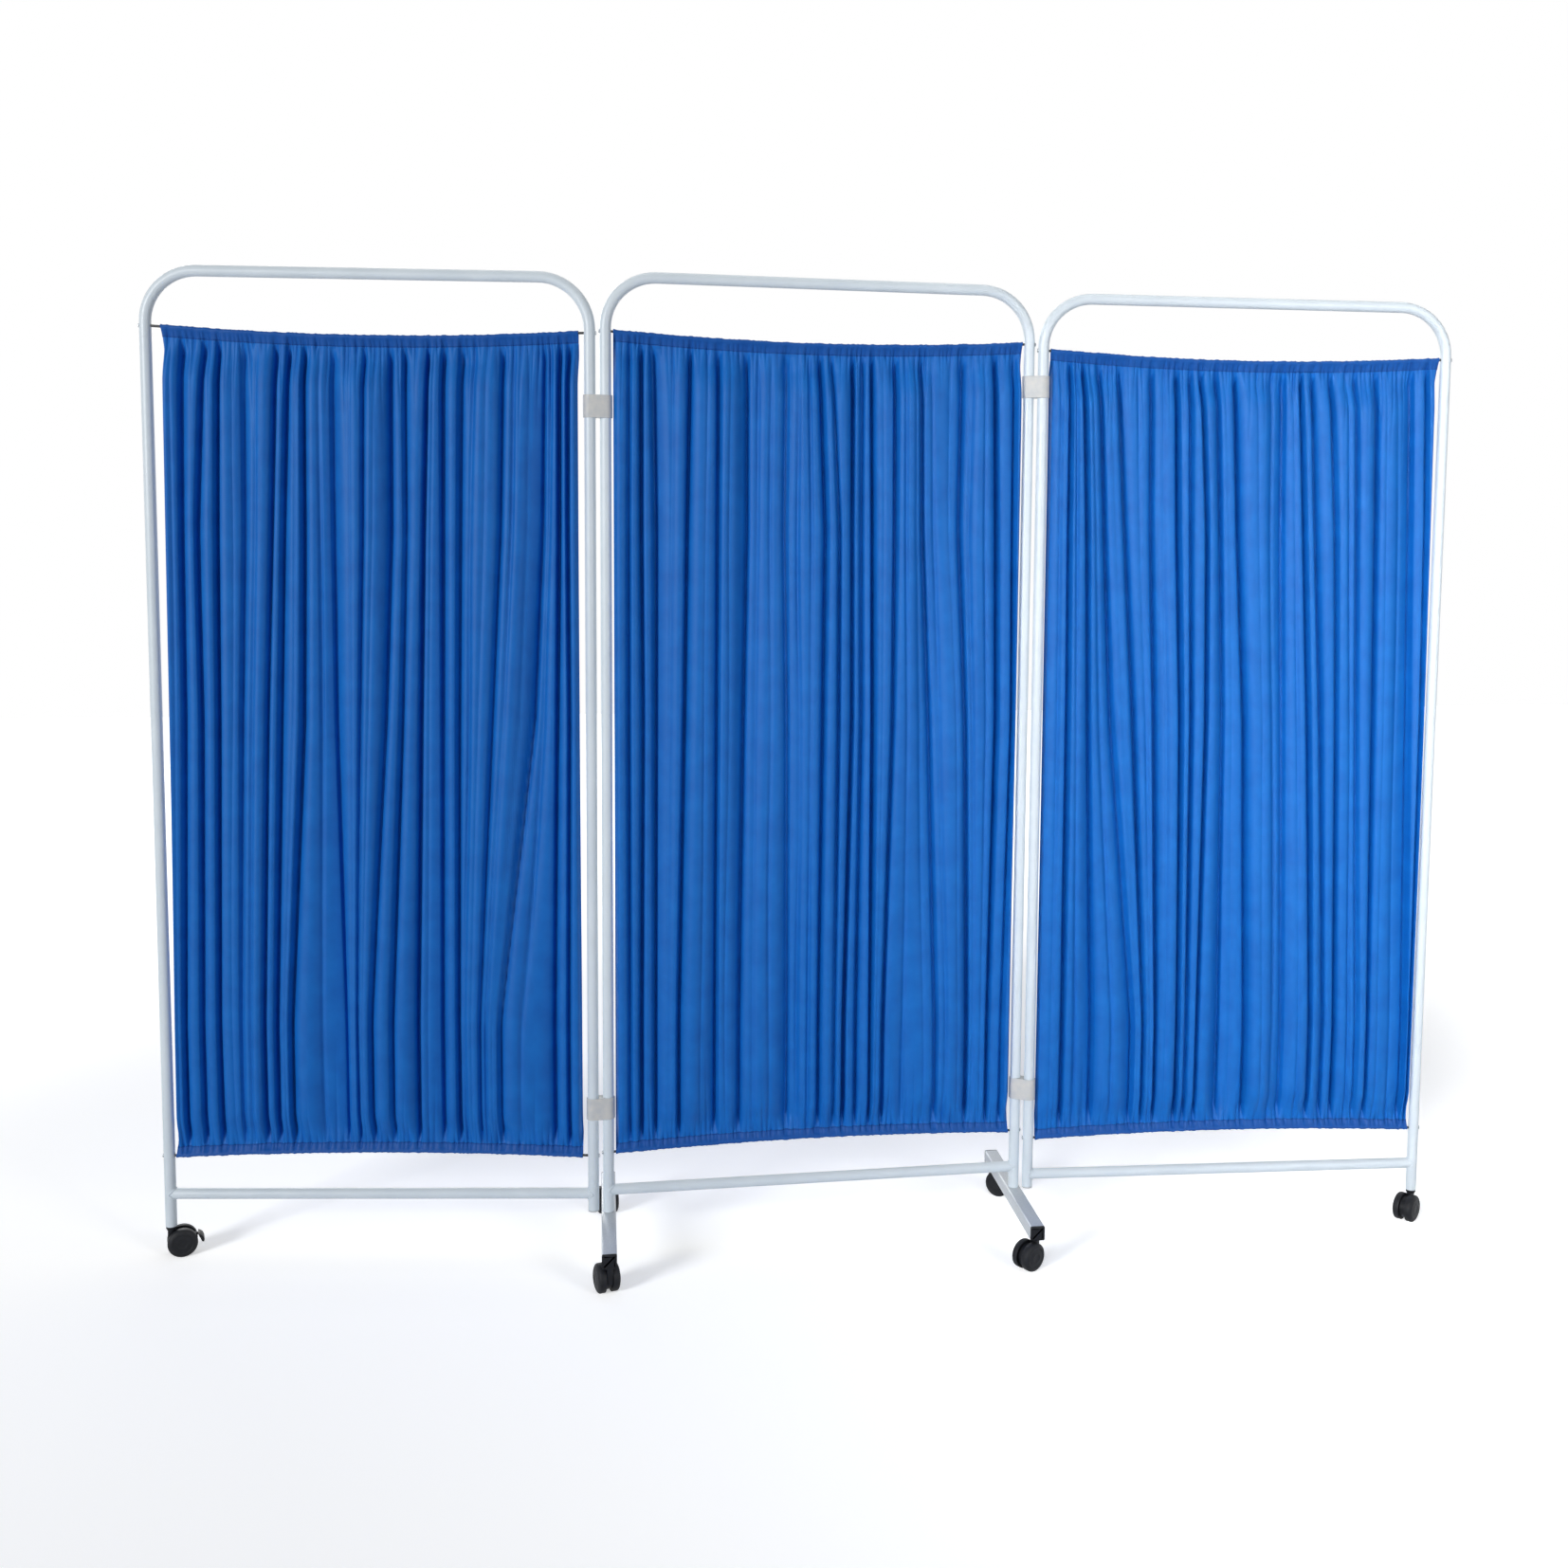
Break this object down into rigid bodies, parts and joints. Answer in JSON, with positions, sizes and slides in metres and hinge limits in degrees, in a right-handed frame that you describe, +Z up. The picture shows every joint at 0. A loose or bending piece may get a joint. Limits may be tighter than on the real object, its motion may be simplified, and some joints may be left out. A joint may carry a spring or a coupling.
{
  "type": "ward privacy screen on wheels",
  "caption": "Folding ward privacy screen on wheels: hinged panels of bent white tube with gathered blue curtains, on casters under square foot tubes and outer posts.",
  "frame": {"origin": "on the floor, under the middle of the screen's outline in the pose of the picture", "axes": "+X along the middle panel, to the right seen from the front; +Y from the front to the back; +Z up"},
  "size_m": [2.257, 0.4066, 1.7],
  "materials": {
    "white_powder_coat": "white powder coat on steel tube, satin, with slight orange peel",
    "silver_paint": "silver-grey paint on square steel tube, satin",
    "grey_plastic": "moulded light grey plastic, matt",
    "black_plastic": "moulded black plastic, satin",
    "black_tread": "moulded black nylon wheel, matt tread",
    "zinc_steel": "zinc-plated steel",
    "black_wire_coat": "black plastic coat over a steel curtain wire",
    "blue_cloth": "plain-woven polyester curtain cloth, mid blue, gathered"
  },
  "bodies": {
    "middle_panel": {"middle_frame": "white_powder_coat", "middle_rail": "white_powder_coat", "middle_top_wire": "black_wire_coat", "middle_bottom_wire": "black_wire_coat", "middle_curtain": "blue_cloth", "left_foot_tube": "silver_paint", "left_foot_bolt": "zinc_steel", "left_front_foot_cap": "black_plastic", "left_back_foot_cap": "black_plastic", "right_foot_tube": "silver_paint", "right_foot_bolt": "zinc_steel", "right_front_foot_cap": "black_plastic", "right_back_foot_cap": "black_plastic", "left_front_caster_stem": "black_plastic", "left_back_caster_stem": "black_plastic", "right_front_caster_stem": "black_plastic", "right_back_caster_stem": "black_plastic"},
    "left_clips": {"left_upper_clip": "grey_plastic", "left_lower_clip": "grey_plastic"},
    "left_panel": {"left_frame": "white_powder_coat", "left_rail": "white_powder_coat", "left_top_wire": "black_wire_coat", "left_bottom_wire": "black_wire_coat", "left_curtain": "blue_cloth", "left_post_end_plug": "grey_plastic", "left_outer_caster_stem": "black_plastic"},
    "right_clips": {"right_upper_clip": "grey_plastic", "right_lower_clip": "grey_plastic"},
    "right_panel": {"right_frame": "white_powder_coat", "right_rail": "white_powder_coat", "right_top_wire": "black_wire_coat", "right_bottom_wire": "black_wire_coat", "right_curtain": "blue_cloth", "right_post_end_plug": "grey_plastic", "right_outer_caster_stem": "black_plastic"},
    "left_outer_caster": {"left_outer_caster_body": "black_plastic", "left_outer_caster_axle": "zinc_steel"},
    "left_outer_wheel_1": {"left_outer_wheel_1": "black_tread"},
    "left_outer_wheel_2": {"left_outer_wheel_2": "black_tread"},
    "left_front_caster": {"left_front_caster_body": "black_plastic", "left_front_caster_axle": "zinc_steel"},
    "left_front_wheel_1": {"left_front_wheel_1": "black_tread"},
    "left_front_wheel_2": {"left_front_wheel_2": "black_tread"},
    "left_back_caster": {"left_back_caster_body": "black_plastic", "left_back_caster_axle": "zinc_steel"},
    "left_back_wheel_1": {"left_back_wheel_1": "black_tread"},
    "left_back_wheel_2": {"left_back_wheel_2": "black_tread"},
    "right_front_caster": {"right_front_caster_body": "black_plastic", "right_front_caster_axle": "zinc_steel"},
    "right_front_wheel_1": {"right_front_wheel_1": "black_tread"},
    "right_front_wheel_2": {"right_front_wheel_2": "black_tread"},
    "right_back_caster": {"right_back_caster_body": "black_plastic", "right_back_caster_axle": "zinc_steel"},
    "right_back_wheel_1": {"right_back_wheel_1": "black_tread"},
    "right_back_wheel_2": {"right_back_wheel_2": "black_tread"},
    "right_outer_caster": {"right_outer_caster_body": "black_plastic", "right_outer_caster_axle": "zinc_steel"},
    "right_outer_wheel_1": {"right_outer_wheel_1": "black_tread"},
    "right_outer_wheel_2": {"right_outer_wheel_2": "black_tread"},
    "left_outer_brake": {"left_outer_brake_lever": "black_plastic"}
  },
  "joints": [
    {"name": "left_clip_hinge", "type": "hinge", "parent": "middle_panel", "child": "left_clips", "pos_m": [-0.36844, -0.00283, 0], "axis": [0, 0, -1], "range_deg": [-41, 81.5]},
    {"name": "left_panel_hinge", "type": "hinge", "parent": "left_clips", "child": "left_panel", "pos_m": [-0.39437, -0.00464, 0], "axis": [0, 0, -1], "range_deg": [-57.5, 65]},
    {"name": "right_clip_hinge", "type": "hinge", "parent": "middle_panel", "child": "right_clips", "pos_m": [0.36157, -0.00283, 0], "axis": [0, 0, -1], "range_deg": [-75, 47.5]},
    {"name": "right_panel_hinge", "type": "hinge", "parent": "right_clips", "child": "right_panel", "pos_m": [0.38408, -0.01583, 0], "axis": [0, 0, -1], "range_deg": [-19.3, 103.2]},
    {"name": "left_outer_caster_swivel", "type": "hinge", "parent": "left_panel", "child": "left_outer_caster", "pos_m": [-1.11635, 0.10326, 0.0497], "axis": [0, 0, 1], "continuous": true},
    {"name": "left_outer_wheel_1_spin", "type": "hinge", "parent": "left_outer_caster", "child": "left_outer_wheel_1", "pos_m": [-1.09986, 0.10737, 0.02462], "axis": [-0.2419, 0.9703, 0], "continuous": true},
    {"name": "left_outer_wheel_2_spin", "type": "hinge", "parent": "left_outer_caster", "child": "left_outer_wheel_2", "pos_m": [-1.09986, 0.10737, 0.02462], "axis": [-0.2419, 0.9703, 0], "continuous": true},
    {"name": "left_front_caster_swivel", "type": "hinge", "parent": "middle_panel", "child": "left_front_caster", "pos_m": [-0.36844, -0.16583, 0.0497], "axis": [0, 0, 1], "continuous": true},
    {"name": "left_front_wheel_1_spin", "type": "hinge", "parent": "left_front_caster", "child": "left_front_wheel_1", "pos_m": [-0.37284, -0.14941, 0.02462], "axis": [-0.9659, -0.2588, 0], "continuous": true},
    {"name": "left_front_wheel_2_spin", "type": "hinge", "parent": "left_front_caster", "child": "left_front_wheel_2", "pos_m": [-0.37284, -0.14941, 0.02462], "axis": [-0.9659, -0.2588, 0], "continuous": true},
    {"name": "left_back_caster_swivel", "type": "hinge", "parent": "middle_panel", "child": "left_back_caster", "pos_m": [-0.36844, 0.16017, 0.0497], "axis": [0, 0, 1], "continuous": true},
    {"name": "left_back_wheel_1_spin", "type": "hinge", "parent": "left_back_caster", "child": "left_back_wheel_1", "pos_m": [-0.36992, 0.17711, 0.02462], "axis": [-0.9962, -0.0872, 0], "continuous": true},
    {"name": "left_back_wheel_2_spin", "type": "hinge", "parent": "left_back_caster", "child": "left_back_wheel_2", "pos_m": [-0.36992, 0.17711, 0.02462], "axis": [-0.9962, -0.0872, 0], "continuous": true},
    {"name": "right_front_caster_swivel", "type": "hinge", "parent": "middle_panel", "child": "right_front_caster", "pos_m": [0.36157, -0.16583, 0.0497], "axis": [0, 0, 1], "continuous": true},
    {"name": "right_front_wheel_1_spin", "type": "hinge", "parent": "right_front_caster", "child": "right_front_wheel_1", "pos_m": [0.34731, -0.17509, 0.02462], "axis": [0.5446, -0.8387, 0], "continuous": true},
    {"name": "right_front_wheel_2_spin", "type": "hinge", "parent": "right_front_caster", "child": "right_front_wheel_2", "pos_m": [0.34731, -0.17509, 0.02462], "axis": [0.5446, -0.8387, 0], "continuous": true},
    {"name": "right_back_caster_swivel", "type": "hinge", "parent": "middle_panel", "child": "right_back_caster", "pos_m": [0.36157, 0.16017, 0.0497], "axis": [0, 0, 1], "continuous": true},
    {"name": "right_back_wheel_1_spin", "type": "hinge", "parent": "right_back_caster", "child": "right_back_wheel_1", "pos_m": [0.37459, 0.14924, 0.02462], "axis": [0.6428, 0.766, 0], "continuous": true},
    {"name": "right_back_wheel_2_spin", "type": "hinge", "parent": "right_back_caster", "child": "right_back_wheel_2", "pos_m": [0.37459, 0.14924, 0.02462], "axis": [0.6428, 0.766, 0], "continuous": true},
    {"name": "right_outer_caster_swivel", "type": "hinge", "parent": "right_panel", "child": "right_outer_caster", "pos_m": [1.11203, -0.07056, 0.0497], "axis": [0, 0, 1], "continuous": true},
    {"name": "right_outer_wheel_1_spin", "type": "hinge", "parent": "right_outer_caster", "child": "right_outer_wheel_1", "pos_m": [1.099, -0.08149, 0.02462], "axis": [0.6428, -0.766, 0], "continuous": true},
    {"name": "right_outer_wheel_2_spin", "type": "hinge", "parent": "right_outer_caster", "child": "right_outer_wheel_2", "pos_m": [1.099, -0.08149, 0.02462], "axis": [0.6428, -0.766, 0], "continuous": true},
    {"name": "left_outer_brake_press", "type": "hinge", "parent": "left_outer_caster", "child": "left_outer_brake", "pos_m": [-1.08943, 0.10997, 0.032], "axis": [-0.2419, 0.9703, 0], "range_deg": [0, 10]}
  ]
}
